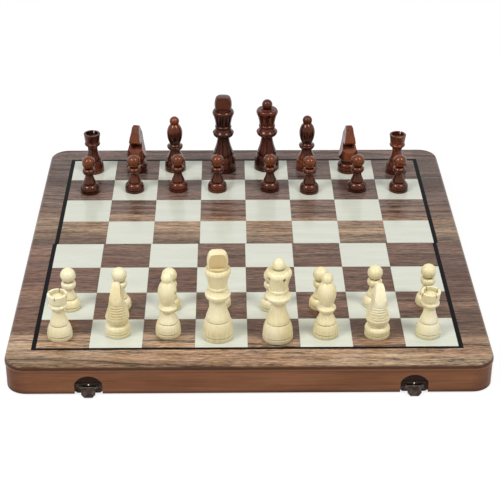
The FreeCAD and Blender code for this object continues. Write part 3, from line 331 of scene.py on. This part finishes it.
def stained_poplar():
    material, tree = finish("red_brown_stained_poplar")
    place = add(tree, "TexCoord").outputs["Object"]
    height = add(tree, "SeparateXYZ", {0: place}).outputs[2]
    from_middle = add(tree, "VectorMath", {0: place}, operation="ABSOLUTE").outputs[0]
    x, y, _ = add(tree, "SeparateXYZ", {0: from_middle}).outputs

    blotch = stretched(tree, place, POPLAR_BLOTCH, Detail=3.0)
    grain = stretched(tree, place, POPLAR_GRAIN, Detail=4.0, Roughness=0.65)
    tone = sum_of(tree, zip((blotch, grain), POPLAR_SHARES))
    base = add(tree, "ValToRGB", {0: tone}, stops=POPLAR_TONES).outputs[0]
    # Painted shade along the walls' rounded bottom rim.
    low = add(tree, "MapRange", {0: height, 1: RIM_SHADE_FROM, 2: RIM_SHADE_FULL, 3: 0.0, 4: RIM_SHADE_SHARE}).outputs[0]
    base = add(tree, "Mix", {0: low, 6: base, 7: colour(RIM_SHADE)}, data_type="RGBA").outputs[2]
    # Painted shade in nooks and where parts meet, from how near other surfaces are.
    open_part = add(tree, "AmbientOcclusion", {"Distance": NOOK_SHADE_REACH}, samples=NOOK_RAYS).outputs["AO"]
    base = add(tree, "Mix", {0: open_part, 6: colour(NOOK_SHADE), 7: base}, data_type="RGBA").outputs[2]

    # Painted shade on the rounded outer corners, and deep painted shade in the finger recesses.
    endwise = add(tree, "MapRange", {0: x, 1: CORNER_X, 2: CORNER_X + CORNER_REACH,
                                     3: 0.0, 4: CORNER_SHADE_SHARE}).outputs[0]
    sideways = add(tree, "MapRange", {0: y, 1: CORNER_Y, 2: CORNER_Y + CORNER_REACH}).outputs[0]
    corner = product_of(tree, endwise, sideways)
    base = add(tree, "Mix", {0: corner, 6: base, 7: colour(CORNER_SHADE)}, data_type="RGBA").outputs[2]
    # Painted shade in the finger recesses.
    sunk = add(tree, "MapRange", {0: y, 1: WALL_FACE - RECESS_FULL, 2: WALL_FACE - RECESS_FROM,
                                  3: 1.0, 4: 0.0}).outputs[0]
    shallow = add(tree, "Math", {0: y, 1: WALL_FACE - RECESS_DEEPEST}, operation="GREATER_THAN").outputs[0]
    inward = add(tree, "Math", {0: x, 1: RECESS_X}, operation="LESS_THAN").outputs[0]
    recess_shade = product_of(tree, sunk, shallow, inward)
    base = add(tree, "Mix", {0: recess_shade, 6: base, 7: colour(RECESS_SHADE)}, data_type="RGBA").outputs[2]

    rough = add(tree, "MapRange", {0: grain, 1: NOISE_LOW, 2: NOISE_HIGH,
                                   3: POPLAR_SMOOTH, 4: POPLAR_DULL}).outputs[0]
    bump = add(tree, "Bump", {"Height": grain, **POPLAR_RELIEF}).outputs[0]
    surface(tree, {"Base Color": base, "Roughness": rough, "Normal": bump, "IOR": WOOD_IOR,
                   "Specular IOR Level": 0.14})
    return material


# ---- wool-mix felt: short matted fibres that scatter light and show no shine ----------------------
# A fibre is 0.03 mm thick, so only the tufts it mats into are drawn.
FELT_TUFT = 1.4 * MM
FELT_TONES = [(0.3, "2C1F1F"), (0.7, "4A3636")]
FELT_RELIEF = {"Strength": 0.6, "Distance": 0.3 * MM}


def felt():
    material, tree = finish("brown_wool_mix_felt")
    place = add(tree, "TexCoord").outputs["Object"]
    tufts = add(tree, "TexNoise", {"Vector": place, "Scale": 1 / FELT_TUFT, "Detail": 5.0}).outputs["Fac"]
    base = add(tree, "ValToRGB", {0: tufts}, stops=FELT_TONES).outputs[0]
    bump = add(tree, "Bump", {"Height": tufts, **FELT_RELIEF}).outputs[0]
    surface(tree, {"Base Color": base, "Roughness": 0.95, "Normal": bump, "Sheen Weight": 0.35,
                   "Sheen Roughness": 0.5, "Specular IOR Level": 0.2})
    return material


# ---- pressed steel plated in antique bronze: a cloudy brown black, with a painted highlight on upward faces -----
BRONZE_CLOUD = 3.2 * MM
BRONZE_TONES = [(0.32, "251C19"), (0.5, "362B28"), (0.68, "4C423B")]
BRONZE_SMOOTH, BRONZE_DULL = 0.34, 0.5            # the paler the cloud, the smoother
BRONZE_RELIEF = {"Strength": 0.3, "Distance": 0.06 * MM}
TOP_HIGHLIGHT, TOP_HIGHLIGHT_SHARE = "A5A286", 0.8
TOP_HIGHLIGHT_FROM, TOP_HIGHLIGHT_FULL = 0.86, 0.98             # how far up a face must look for the painted highlight to reach it


def antique_bronze():
    material, tree = finish("antique_bronze_plate")
    coordinates = add(tree, "TexCoord")
    cloud = add(tree, "TexNoise", {"Vector": coordinates.outputs["Object"], "Scale": 1 / BRONZE_CLOUD,
                                   "Detail": 5.0}).outputs["Fac"]
    base = add(tree, "ValToRGB", {0: cloud}, stops=BRONZE_TONES).outputs[0]
    # A painted highlight on the faces that look upward.
    upward = add(tree, "SeparateXYZ", {0: coordinates.outputs["Normal"]}).outputs[2]
    top_highlight = add(tree, "MapRange", {0: upward, 1: TOP_HIGHLIGHT_FROM, 2: TOP_HIGHLIGHT_FULL,
                                    3: 0.0, 4: TOP_HIGHLIGHT_SHARE}).outputs[0]
    base = add(tree, "Mix", {0: top_highlight, 6: base, 7: colour(TOP_HIGHLIGHT)}, data_type="RGBA").outputs[2]
    rough = add(tree, "MapRange", {0: cloud, 1: NOISE_LOW, 2: NOISE_HIGH,
                                   3: BRONZE_DULL, 4: BRONZE_SMOOTH}).outputs[0]
    bump = add(tree, "Bump", {"Height": cloud, **BRONZE_RELIEF}).outputs[0]
    surface(tree, {"Base Color": base, "Metallic": 0.9, "Roughness": rough, "Normal": bump})
    return material


# ---- nickel-plated steel pins and nails: bright and silvery, with a faint haze --------------------
NICKEL_HAZE = 1.1 * MM
NICKEL_TONES = [(0.3, "B9B5AC"), (0.7, "DEDBD3")]
NICKEL_SMOOTH, NICKEL_DULL = 0.16, 0.3


def bright_steel():
    material, tree = finish("nickel_plated_steel")
    place = add(tree, "TexCoord").outputs["Object"]
    haze = add(tree, "TexNoise", {"Vector": place, "Scale": 1 / NICKEL_HAZE, "Detail": 3.0}).outputs["Fac"]
    base = add(tree, "ValToRGB", {0: haze}, stops=NICKEL_TONES).outputs[0]
    rough = add(tree, "MapRange", {0: haze, 1: NOISE_LOW, 2: NOISE_HIGH,
                                   3: NICKEL_SMOOTH, 4: NICKEL_DULL}).outputs[0]
    surface(tree, {"Base Color": base, "Metallic": 1.0, "Roughness": rough})
    return material


# ---- turned boxwood men, clear lacquered a soft pale yellow, or stained red-brown under gloss -----
# The grain runs up each man in faint streaks, and shade is painted into the grooves.
# Boxwood's grain is too fine to show, so the streaks are drawn 1.7 mm wide.
GRAIN_WIDE, GRAIN_LONG = 1.7 * MM, 32 * MM
MAN_CLOUD = 34 * MM                               # one man is a little darker than the next
MAN_SHARES = (0.22, 0.78)                         # of the grain, and of the man's own tone
MAN_RELIEF = {"Strength": 0.2, "Distance": 0.04 * MM}
GROOVE_REACH = 2.2 * MM                           # a groove's walls are this near
GROOVE_OPEN, GROOVE_LEFT = 0.6, 0.35              # how open its edge is, and the wood's own colour left at its bottom under the painted shade
SHADE_REACH = 7 * MM                              # a ledge that keeps the light off is this near
SHADE_DEEP, SHADE_OPEN = 0.25, 0.9                # how open the spots well under it and clear of it are
SHADE_DARK = 0.6                                  # the brightness left well under it
BALL_FROM, BALL_FULL = BOARD_TOP + 22 * MM, BOARD_TOP + 24 * MM
BALL_SHARE = 0.6                                  # a pawn's ball has taken less of the stain
FLATS_FROM = BOARD_TOP + 61 * MM                  # where the flats of a king's finial start
CARVED_FROM = BOARD_TOP + 13 * MM                 # where a knight's carving starts
CUT_FROM, CUT_FULL = 0.8, 0.95                    # how squarely a cut face looks to the front or rear

BOX_TONES = [(0.36, "EAD9A6"), (0.5, "F5E9BC"), (0.66, "FBF2D0")]
STAINED_TONES = [(0.36, "160604"), (0.5, "2C0F0A"), (0.66, "542317")]
MINOR_TONES = [(0.36, "1E0905"), (0.5, "40170D"), (0.66, "75381E")]
PAWN_TONES = [(0.36, "240D08"), (0.5, "40180F"), (0.66, "642C1A")]

# Painted shade colour in the grooves, roughness from the smoothest to the dullest, specular level and its
# tint.
CLEAR_LACQUER = ("7E5F2E", 0.24, 0.33, 0.5, WHITE)
DARK_LACQUER = ("120504", 0.14, 0.2, 1.0, "D29A88")
MINOR_LACQUER = ("120504", 0.14, 0.2, 1.0, "D8A08A")
PAWN_LACQUER = ("1C0805", 0.14, 0.2, 1.0, "E0A890")


def cut_faces(tree, coordinates, cut_above):
    """Where a king's flats or a knight's face and chest were cut, after the turning, and look to the front
    or rear. On the light king their colour is painted shade.
    """
    facing = add(tree, "VectorMath", {0: coordinates.outputs["Normal"]}, operation="ABSOLUTE").outputs[0]
    squarely = add(tree, "SeparateXYZ", {0: facing}).outputs[1]
    flat = add(tree, "MapRange", {0: squarely, 1: CUT_FROM, 2: CUT_FULL}).outputs[0]
    height = add(tree, "SeparateXYZ", {0: coordinates.outputs["Object"]}).outputs[2]
    high = add(tree, "Math", {0: height, 1: cut_above}, operation="GREATER_THAN").outputs[0]
    return product_of(tree, flat, high)


def turned_wood(name, tones, lacquer, cut=None, ball=None):
    """A man's finish. cut is the height and colour of faces cut later (painted shade on the light king),
    and ball a pawn's paler ball.
    """
    groove_shade, smoothest, dullest, shine, gleam = lacquer
    material, tree = finish(name)
    coordinates = add(tree, "TexCoord")
    place = coordinates.outputs["Object"]
    upright = add(tree, "Mapping", {"Vector": place,
                                    "Scale": (1 / GRAIN_WIDE, 1 / GRAIN_WIDE, 1 / GRAIN_LONG)})
    grain = add(tree, "TexNoise", {"Vector": upright.outputs[0], "Scale": 1.0, "Detail": 4.0,
                                   "Roughness": 0.6}).outputs["Fac"]
    man = add(tree, "TexNoise", {"Vector": place, "Scale": 1 / MAN_CLOUD, "Detail": 2.0}).outputs["Fac"]
    tone = sum_of(tree, zip((grain, man), MAN_SHARES))
    base = add(tree, "ValToRGB", {0: tone}, stops=tones).outputs[0]
    if ball:
        height = add(tree, "SeparateXYZ", {0: place}).outputs[2]
        share = add(tree, "MapRange", {0: height, 1: BALL_FROM, 2: BALL_FULL,
                                       3: 0.0, 4: BALL_SHARE}).outputs[0]
        base = add(tree, "Mix", {0: share, 6: base, 7: colour(ball)}, data_type="RGBA").outputs[2]
    if cut:
        cut_above, cut_tone_and_shade = cut
        faces = cut_faces(tree, coordinates, cut_above)
        base = add(tree, "Mix", {0: faces, 6: base, 7: colour(cut_tone_and_shade)}, data_type="RGBA").outputs[2]

    # Painted shade in the grooves, from how near the groove's walls are.
    near = add(tree, "AmbientOcclusion", {"Distance": GROOVE_REACH}, samples=NOOK_RAYS).outputs["AO"]
    wood = add(tree, "MapRange", {0: near, 1: 0.0, 2: GROOVE_OPEN, 3: GROOVE_LEFT, 4: 1.0}).outputs[0]
    base = add(tree, "Mix", {0: wood, 6: colour(groove_shade), 7: base}, data_type="RGBA").outputs[2]
    under = add(tree, "AmbientOcclusion", {"Distance": SHADE_REACH}, samples=NOOK_RAYS).outputs["AO"]
    shade = add(tree, "MapRange", {0: under, 1: SHADE_DEEP, 2: SHADE_OPEN,
                                   3: SHADE_DARK, 4: 1.0}).outputs[0]
    base = add(tree, "VectorMath", {0: base, "Scale": shade}, operation="SCALE").outputs[0]
    rough = add(tree, "MapRange", {0: grain, 1: NOISE_LOW, 2: NOISE_HIGH,
                                   3: smoothest, 4: dullest}).outputs[0]
    bump = add(tree, "Bump", {"Height": grain, **MAN_RELIEF}).outputs[0]
    surface(tree, {"Base Color": base, "Roughness": rough, "Normal": bump, "IOR": WOOD_IOR,
                   "Specular IOR Level": shine, "Specular Tint": colour(gleam)})
    return material


MATERIALS = {
    "walnut": walnut(),
    "maple_squares": maple(),
    "black_line": dyed_line(),
    "stained_case": stained_poplar(),
    "felt": felt(),
    "antique_bronze": antique_bronze(),
    "bright_steel": bright_steel(),
    "light_men": turned_wood("boxwood_turned_lacquered", BOX_TONES, CLEAR_LACQUER),
    # Its flats are darker tan: painted shade, as on faces turned away from the light.
    "light_king": turned_wood("boxwood_turned_sanded_flats", BOX_TONES, CLEAR_LACQUER,
                              cut=(FLATS_FROM, "D6BA82")),
    "dark_king": turned_wood("dark_stained_boxwood_sanded_flats", STAINED_TONES, DARK_LACQUER,
                             cut=(FLATS_FROM, "542E20")),
    "dark_queen": turned_wood("dark_stained_boxwood_gloss", STAINED_TONES, DARK_LACQUER),
    "dark_minor_men": turned_wood("mid_stained_boxwood_gloss", MINOR_TONES, MINOR_LACQUER),
    "dark_knights": turned_wood("mid_stained_boxwood_carved", MINOR_TONES, MINOR_LACQUER,
                                cut=(CARVED_FROM, "844626")),
    "dark_pawns": turned_wood("red_stained_boxwood_gloss", PAWN_TONES, PAWN_LACQUER, ball="70381A"),
}

# Which finish each CAD node wears: the first pair whose word is in the node's name.
WEARS = (
    ("top_panel", "walnut"),
    ("dark_squares", "walnut"),
    ("light_squares", "maple_squares"),
    ("inlay_line", "black_line"),
    ("_wall", "stained_case"),
    ("felt_lining", "felt"),
    ("_pins", "bright_steel"),
    ("nails", "bright_steel"),
    ("_screws", "antique_bronze"),
    ("hinge_leaves", "antique_bronze"),
    ("latch_", "antique_bronze"),
    ("catch_plates", "antique_bronze"),
    ("light_king", "light_king"),
    ("light_", "light_men"),
    ("dark_king", "dark_king"),
    ("dark_queen", "dark_queen"),
    ("dark_knight", "dark_knights"),
    ("dark_pawn", "dark_pawns"),
    ("dark_", "dark_minor_men"),
)


def dress(node):
    """Gives a CAD node the finish that the first matching word calls for."""
    finish_name = next(worn for word, worn in WEARS if word in node.name)
    node.data.materials.clear()
    node.data.materials.append(MATERIALS[finish_name])


for cad_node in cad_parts.values():
    dress(cad_node)


# ---- felt glued under the panels, which lines both trays -----------------------------------------
FELT_INSET = 0.3 * MM                             # trimmed this far short of the walls
FELT_BODY = 0.7 * MM
FELT_WAVE = 0.5 * MM                              # scatter before smoothing, which leaves a tenth of it
FELT_PASSES = 6                                   # of smoothing
FELT_CELLS_X, FELT_CELLS_Y = 90, 45               # about 4 mm each


def felt_sheet(side):
    """One half's lining, a little uneven where the glue took it up."""
    low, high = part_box(side + "_felt_lining")
    width = high.x - low.x - 2 * FELT_INSET
    length = high.y - low.y - 2 * FELT_INSET
    bpy.ops.object.select_all(action="DESELECT")
    bpy.ops.mesh.primitive_grid_add(x_subdivisions=FELT_CELLS_X, y_subdivisions=FELT_CELLS_Y, size=1.0,
                                    location=(0, 0, 0))
    sheet = bpy.context.object
    sheet.name = side + "_felt_sheet"
    bpy.ops.object.mode_set(mode="EDIT")
    bpy.ops.mesh.select_all(action="SELECT")
    bpy.ops.transform.resize(value=(width, length, 1.0))
    bpy.ops.transform.vertex_random(offset=FELT_WAVE, uniform=0.0, normal=1.0, seed=7)
    bpy.ops.mesh.vertices_smooth(factor=0.5, repeat=FELT_PASSES, xaxis=False, yaxis=False)
    bpy.ops.transform.translate(value=(low + high) / 2)
    bpy.ops.object.mode_set(mode="OBJECT")
    body = sheet.modifiers.new("body", "SOLIDIFY")
    body.thickness = FELT_BODY
    body.offset = 0.0
    bpy.ops.object.modifier_apply(modifier=body.name)
    sheet.data.materials.append(MATERIALS["felt"])
    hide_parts(side + "_felt_lining")
    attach(sheet, side + "_half")


felt_sheet("front")
felt_sheet("rear")


# ---- floor, light and camera ---------------------------------------------------------------------
FLOOR_SIZE = 8.0
FLOOR_PAPER = "EDEDEB"                            # what lights the object from below
FLOOR_GREY = "959595"                             # what the camera sees the shadows on
FLOOR_GLOW = 0.78                                 # and the white that is added to that
FADE_FROM, FADE_TO = 0.42, 0.85                   # from the middle, where the floor turns plain white
ROOM_LOW, ROOM_HIGH = 0.05, 0.60                  # the room's light at floor level and overhead
SENSOR, LENS = 36.0, 103.976                      # millimetres
CAMERA_PLACE = (-0.01685, -1.09957, 0.64559)
CAMERA_TURN = (1.053378, -0.004276, -0.015570)    # radians
SOFTBOXES = (                                     # name, place, side length, watts
    ("softbox_left", (-1.0, -0.72, 1.4), 0.55, 13.9),
    ("softbox_right", (0.9, -0.68, 1.5), 0.55, 11.7),
    ("softbox_top", (0.0, -0.5, 1.9), 1.2, 3.3),
)


def seen_white(tree, plain, white):
    """White to the camera, in reflections and through glass, and plain to every other ray."""
    path = add(tree, "LightPath")
    rays = [path.outputs[kind] for kind in ("Is Camera Ray", "Is Glossy Ray", "Is Transmission Ray")]
    first = add(tree, "Math", {0: rays[0], 1: rays[1]}, operation="MAXIMUM").outputs[0]
    either = add(tree, "Math", {0: first, 1: rays[2]}, operation="MAXIMUM").outputs[0]
    return add(tree, "MixShader", {0: either, 1: plain, 2: white}).outputs[0]


def paper_floor():
    """A pale floor. The camera sees it white, with the object's soft shadow left on it."""
    bpy.ops.object.select_all(action="DESELECT")
    bpy.ops.mesh.primitive_plane_add(size=FLOOR_SIZE, location=(0, 0, 0))
    floor = bpy.context.object
    floor.name = "studio_floor"
    material, tree = finish("matt_white_paper")
    paper = add(tree, "BsdfDiffuse", {"Color": colour(FLOOR_PAPER)}).outputs[0]
    faint = add(tree, "BsdfDiffuse", {"Color": colour(FLOOR_GREY)}).outputs[0]
    glow = add(tree, "Emission", {"Color": colour(WHITE), "Strength": FLOOR_GLOW}).outputs[0]
    lit = add(tree, "AddShader", {0: faint, 1: glow}).outputs[0]
    # Well away from the object the floor is plain white, so that it has no visible edge.
    place = add(tree, "TexCoord").outputs["Object"]
    away = add(tree, "VectorMath", {0: place}, operation="LENGTH").outputs["Value"]
    far = add(tree, "MapRange", {0: away, 1: FADE_FROM, 2: FADE_TO},
              interpolation_type="SMOOTHSTEP").outputs[0]
    blank = add(tree, "Emission", {"Color": colour(WHITE), "Strength": 1.0}).outputs[0]
    lit = add(tree, "MixShader", {0: far, 1: lit, 2: blank}).outputs[0]
    add(tree, "OutputMaterial", {"Surface": seen_white(tree, paper, lit)})
    floor.data.materials.append(material)
    floor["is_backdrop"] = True


def studio_world():
    """Soft light from all round, stronger from above."""
    world = bpy.data.worlds.new("studio")
    world.use_nodes = True
    tree = world.node_tree
    tree.nodes.clear()
    up = add(tree, "SeparateXYZ", {0: add(tree, "TexCoord").outputs["Generated"]}).outputs[2]
    level = add(tree, "MapRange", {0: up, 1: 0.0, 2: 1.0, 3: ROOM_LOW, 4: ROOM_HIGH}).outputs[0]
    room = add(tree, "Background", {"Color": colour(WHITE), "Strength": level}).outputs[0]
    white = add(tree, "Background", {"Color": colour(WHITE), "Strength": 1.0}).outputs[0]
    add(tree, "OutputWorld", {"Surface": seen_white(tree, room, white)})
    bpy.context.scene.world = world


def softbox(name, place, size, watts):
    """A square softbox that faces the middle of the board."""
    light = bpy.data.lights.new(name, "AREA")
    light.shape = "SQUARE"
    light.size = size
    light.energy = watts
    lamp = bpy.data.objects.new(name, light)
    lamp.location = place
    lamp.rotation_euler = lamp.location.to_track_quat("Z", "Y").to_euler()
    bpy.context.scene.collection.objects.link(lamp)


def studio_camera():
    """In front of the board and above it, with a long lens."""
    view = bpy.data.cameras.new("camera")
    view.sensor_width = SENSOR
    view.lens = LENS
    camera = bpy.data.objects.new("camera", view)
    camera.location = CAMERA_PLACE
    camera.rotation_euler = CAMERA_TURN
    bpy.context.scene.collection.objects.link(camera)
    bpy.context.scene.camera = camera


paper_floor()
studio_world()
for softbox_values in SOFTBOXES:
    softbox(*softbox_values)
studio_camera()
bpy.context.scene.view_settings.view_transform = "Standard"


def plain(box):
    """A box's two corners as plain numbers."""
    return [[float(v) for v in corner] for corner in box]


{"cad": plain(CAD_BOX), "visual": plain(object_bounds())}
